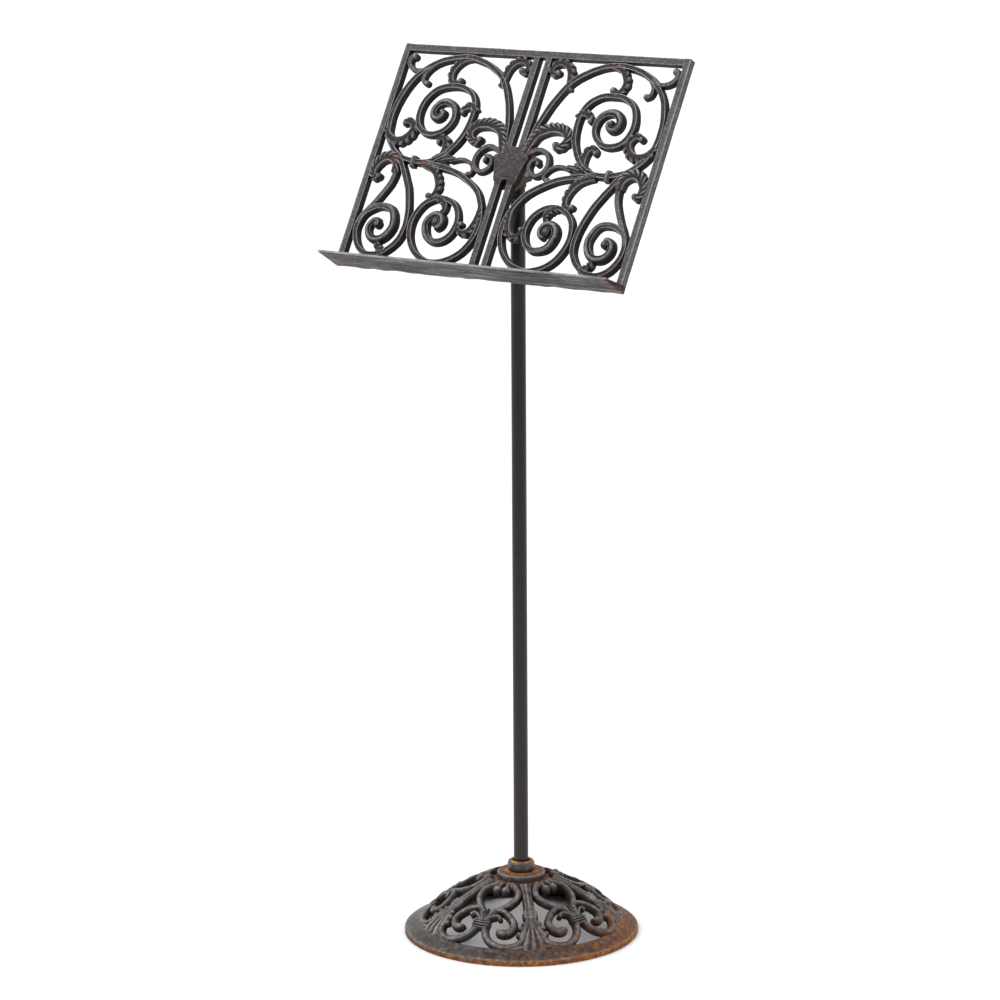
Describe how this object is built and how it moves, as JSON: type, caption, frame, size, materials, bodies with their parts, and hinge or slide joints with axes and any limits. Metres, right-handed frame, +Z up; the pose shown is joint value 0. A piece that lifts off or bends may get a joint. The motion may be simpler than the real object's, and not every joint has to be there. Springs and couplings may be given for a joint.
{
  "type": "bible stand",
  "caption": "Free-standing bible stand: openwork cast-iron desk with a book ledge, tilting on a bolt at the top of a slim round pole, on a pierced dome base.",
  "frame": {"origin": "middle of the base's underside, on the pole's axis", "axes": "+Z up along the pole, the desk's reading face towards -Y, +X to the reader's right"},
  "size_m": [0.4372, 0.305, 1.1406],
  "materials": {
    "base_iron": "weathered cast iron with rust on its edges and upper faces",
    "pole_steel": "satin black paint",
    "desk_iron": "charcoal cast iron, slightly grainy, ridges rubbed lighter",
    "bracket_iron": "dark brown-grey cast iron",
    "fastener_steel": "darkened steel"
  },
  "bodies": {
    "stand": {"base_flange": "base_iron", "base_hub": "base_iron", "base_baluster_1": "base_iron", "base_baluster_2": "base_iron", "base_baluster_3": "base_iron", "base_baluster_4": "base_iron", "base_baluster_5": "base_iron", "base_fleur_1": "base_iron", "base_fleur_2": "base_iron", "base_fleur_3": "base_iron", "base_fleur_4": "base_iron", "base_fleur_5": "base_iron", "pole_collar": "base_iron", "pole_tube": "pole_steel", "foot_spigot": "fastener_steel", "foot_washer": "fastener_steel", "foot_nut": "fastener_steel", "pole_head": "bracket_iron", "pole_head_pin": "fastener_steel"},
    "desk": {"desk_ledge": "desk_iron", "desk_left_bar": "desk_iron", "desk_right_bar": "desk_iron", "desk_top_bar": "desk_iron", "desk_spine": "desk_iron", "desk_scroll_left": "desk_iron", "desk_scroll_right": "desk_iron", "hinge_bracket": "bracket_iron", "bracket_rivets": "fastener_steel", "hinge_bolt": "fastener_steel", "friction_washers": "fastener_steel", "hinge_washer": "fastener_steel", "hinge_nut": "fastener_steel"}
  },
  "joints": [
    {"name": "desk_tilt", "type": "hinge", "parent": "stand", "child": "desk", "pos_m": [0, 0, 0.9958], "axis": [-1, 0, 0], "range_deg": [-25, 45]}
  ]
}
